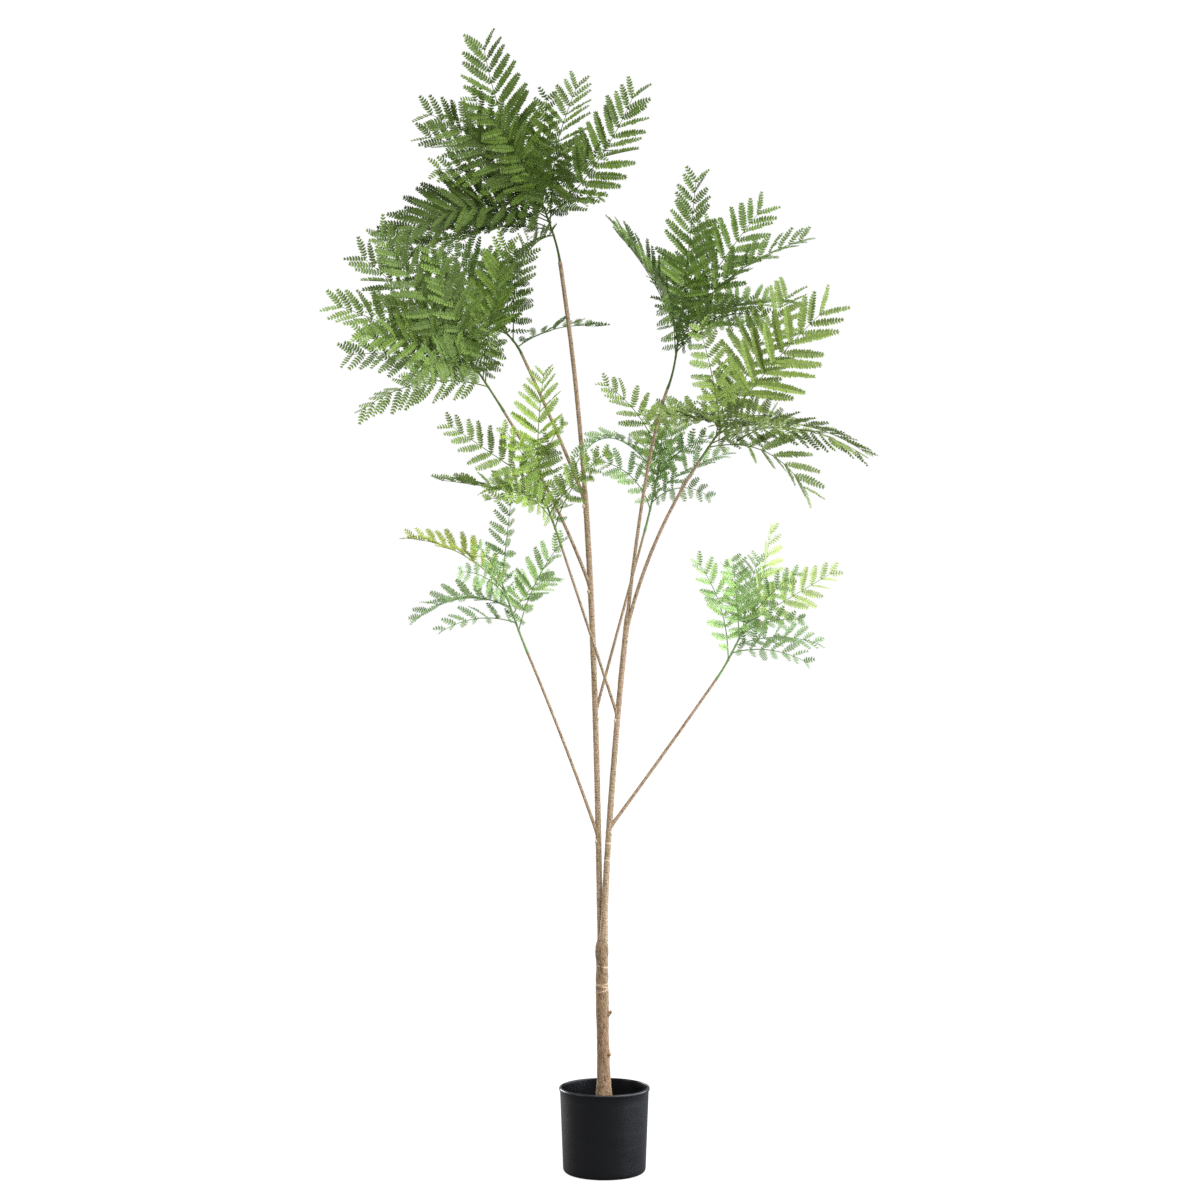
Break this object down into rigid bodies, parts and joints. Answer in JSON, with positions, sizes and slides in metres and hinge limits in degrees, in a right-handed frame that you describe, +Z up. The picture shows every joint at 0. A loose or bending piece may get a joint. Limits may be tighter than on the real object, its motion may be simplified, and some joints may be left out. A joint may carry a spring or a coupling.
{
  "type": "artificial fern tree in a pot",
  "caption": "Artificial fern tree: a short rough trunk forks into slim wrapped stems that carry sprays of twice-divided green fronds, set in a round black plastic pot.",
  "frame": {"origin": "middle of the pot's flat underside", "axes": "+Z up along the trunk, +X to the viewer's right, +Y away from the viewer"},
  "size_m": [0.8662, 0.4587, 1.7935],
  "materials": {
    "pot": "satin",
    "fill": "matte",
    "trunk": "matte",
    "stem": "matte",
    "dark_foliage": "matte",
    "olive_foliage": "matte",
    "mid_foliage": "matte",
    "light_foliage": "matte"
  },
  "bodies": {
    "root": {"pot": "pot", "pot_fill": "fill", "trunk": "trunk", "left_stem": "stem", "right_stem": "stem", "low_left_bough": "stem", "low_right_bough": "stem", "middle_left_bough": "stem", "middle_right_bough": "stem", "outer_left_bough": "stem", "upper_left_bough": "stem", "outer_right_bough": "stem", "top_spray": "dark_foliage", "upper_left_spray": "olive_foliage", "outer_left_spray": "olive_foliage", "upper_right_spray": "olive_foliage", "outer_right_spray": "mid_foliage", "middle_left_spray": "light_foliage", "low_left_spray": "light_foliage", "middle_right_spray": "light_foliage", "low_right_spray": "light_foliage"}
  },
  "joints": []
}
